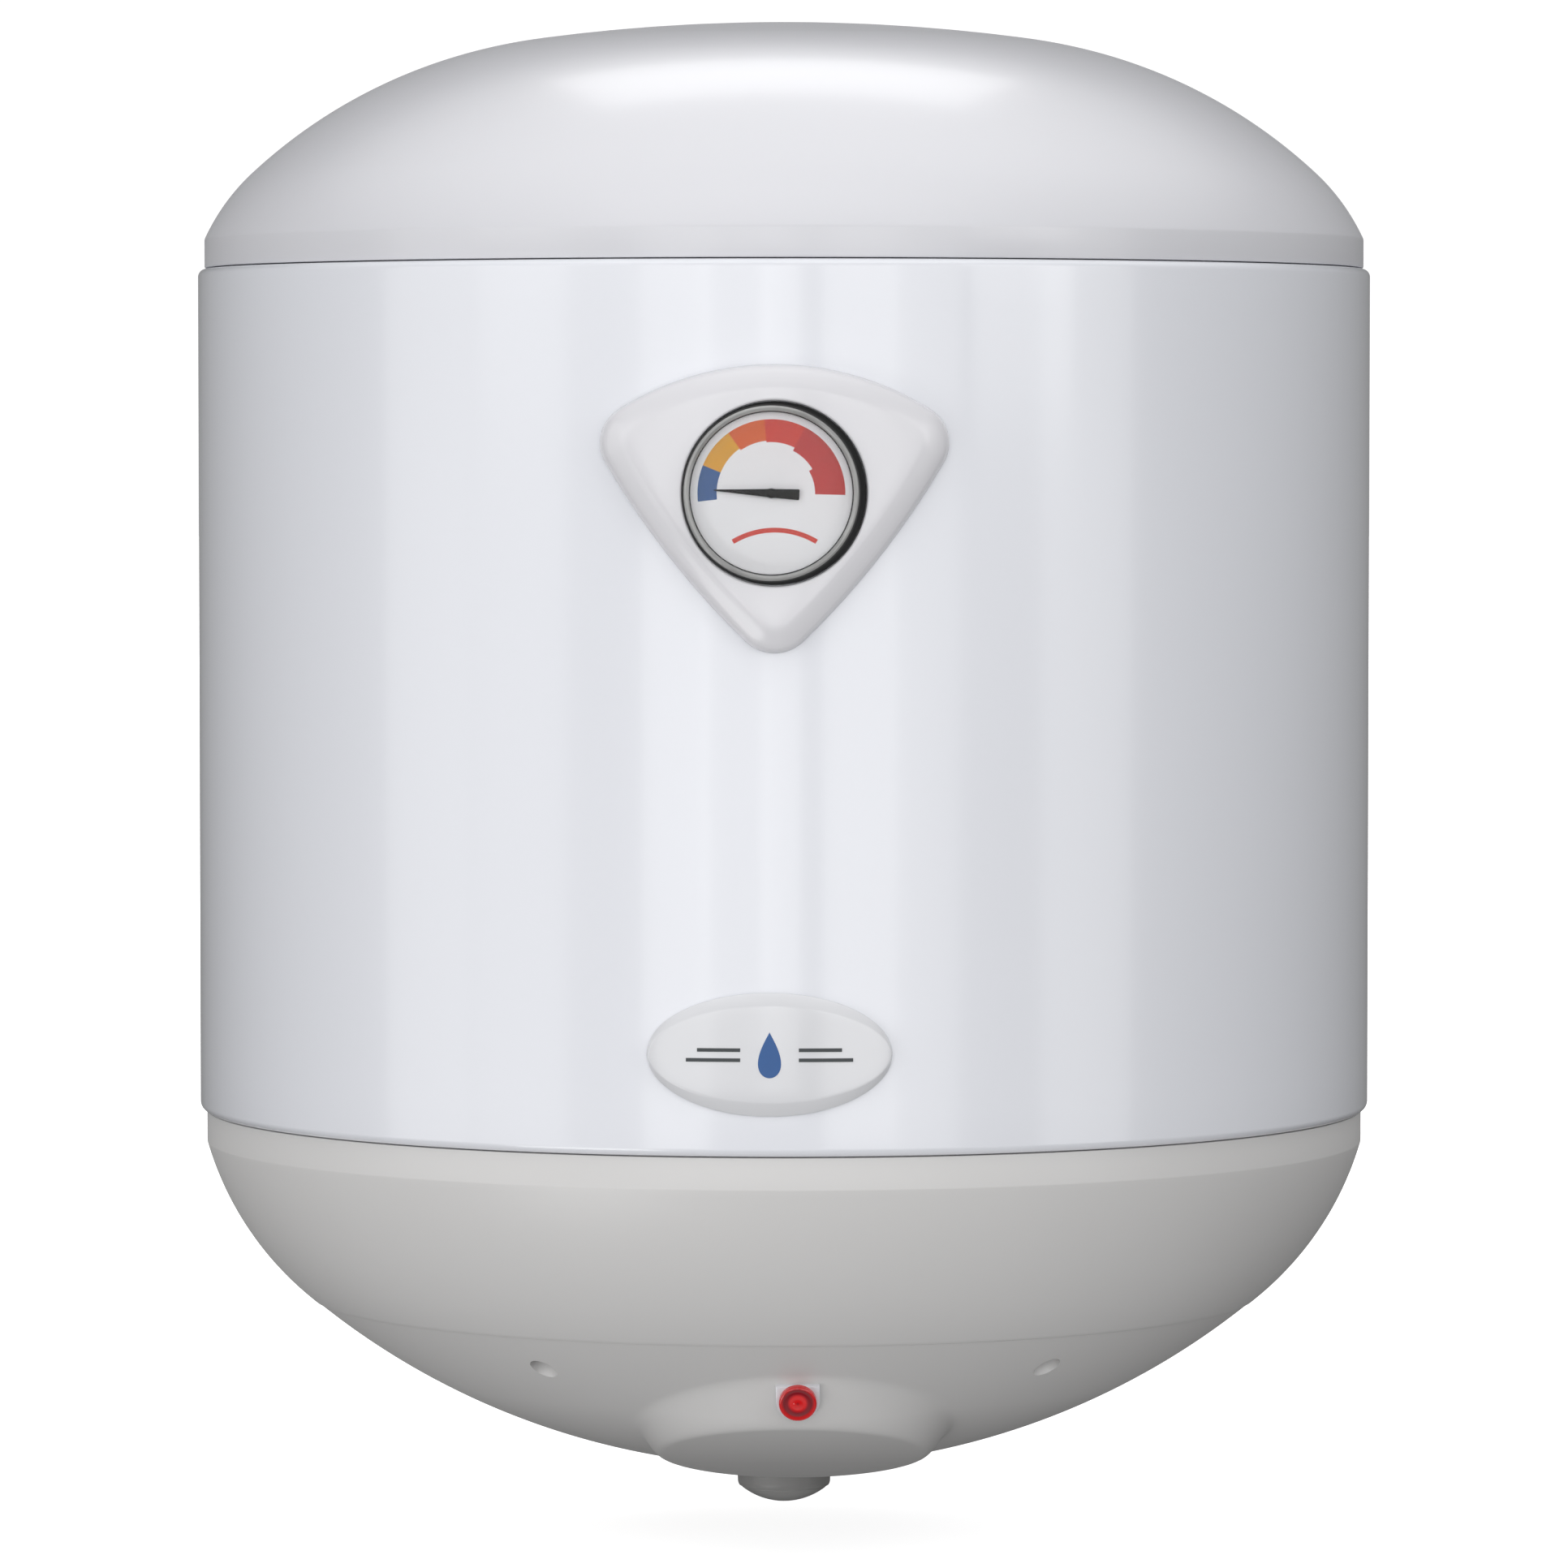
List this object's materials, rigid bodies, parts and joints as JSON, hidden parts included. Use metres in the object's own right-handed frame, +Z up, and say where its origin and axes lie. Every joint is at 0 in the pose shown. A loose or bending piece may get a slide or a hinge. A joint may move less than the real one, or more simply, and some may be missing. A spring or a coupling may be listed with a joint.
{
  "type": "tank water heater",
  "caption": "Wall-hung electric storage water heater: white steel jacket, domed plastic caps, dial thermometer in a rounded-triangle panel, lamp and control knob underneath.",
  "frame": {"origin": "centre of the wall bracket's two slots, on the wall plane", "axes": "+Y into the wall, the thermometer faces -Y, +Z up, +X to the right seen from the front"},
  "size_m": [0.45, 0.4766, 0.5703],
  "materials": {
    "jacket_paint": "gloss",
    "cap_plastic": "satin",
    "panel_plastic": "gloss",
    "badge_plastic": "gloss",
    "knob_plastic": "satin",
    "white_plastic": "satin",
    "black_plastic": "satin",
    "black_rubber": "matte",
    "dial_white": "satin",
    "needle_black": "satin",
    "clear_lens": "polished",
    "red_lens": "gloss",
    "red_plastic": "satin",
    "blue_plastic": "satin",
    "bracket_paint": "satin",
    "zinc_steel": "satin",
    "pipe_steel": "satin",
    "tank_steel": "satin",
    "copper": "satin",
    "brass": "satin",
    "magnesium": "matte",
    "foam": "matte",
    "wire_blue": "satin"
  },
  "bodies": {
    "heater": {"outer_shell": "jacket_paint", "top_cap": "cap_plastic", "bottom_cap": "cap_plastic", "service_cover": "cap_plastic", "cover_screws": "zinc_steel", "wall_bracket": "bracket_paint", "lower_wall_spacer": "white_plastic", "thermometer_panel": "panel_plastic", "gauge_gasket": "black_rubber", "gauge_case": "black_plastic", "spindle_bridge": "brass", "gauge_dial": "dial_white", "gauge_lens": "clear_lens", "bourdon_coil": "brass", "sensor_bulb": "copper", "bulb_clip": "zinc_steel", "capillary_tube": "copper", "badge_plate": "badge_plastic", "lamp_lens": "red_lens", "lamp_body": "black_plastic", "lamp_clip": "zinc_steel", "tank_wall": "tank_steel", "tank_top_head": "tank_steel", "tank_bottom_head": "tank_steel", "insulation_foam": "foam", "cold_inlet_nipple": "pipe_steel", "hot_outlet_nipple": "pipe_steel", "cold_ring": "blue_plastic", "hot_ring": "red_plastic", "hot_standpipe": "white_plastic", "cold_diffuser": "white_plastic", "flange_collar": "tank_steel", "flange_gasket": "black_rubber", "flange_plate": "zinc_steel", "flange_studs": "zinc_steel", "flange_nuts": "zinc_steel", "heating_element": "copper", "element_terminals": "zinc_steel", "thermostat_pocket": "copper", "thermostat_rod": "copper", "anode_rod": "magnesium", "anode_nut": "zinc_steel", "thermostat_body": "black_plastic", "terminal_block": "white_plastic", "supply_wires": "wire_blue", "earth_screw": "brass", "cable_gland": "black_plastic", "gland_nut": "black_plastic", "lamp_wires": "wire_blue"},
    "knob": {"control_knob": "knob_plastic", "control_spindle": "zinc_steel"},
    "needle": {"gauge_needle": "needle_black", "needle_spindle": "needle_black"},
    "reset": {"reset_button": "red_plastic"}
  },
  "joints": [
    {"name": "knob_turn", "type": "hinge", "parent": "heater", "child": "knob", "pos_m": [0, -0.242, -0.39], "axis": [0, 0, 1], "range_deg": [-135, 135]},
    {"name": "needle_turn", "type": "hinge", "parent": "heater", "child": "needle", "pos_m": [-0.0045, -0.4732, -0.0089], "axis": [0, 1, 0], "range_deg": [-9, 178], "stiffness_Nm_per_rad": 0.0002},
    {"name": "reset_press", "type": "slide", "parent": "heater", "child": "reset", "axis": [0, 0, 1], "range_m": [0, 0.002], "stiffness_N_per_m": 400}
  ]
}
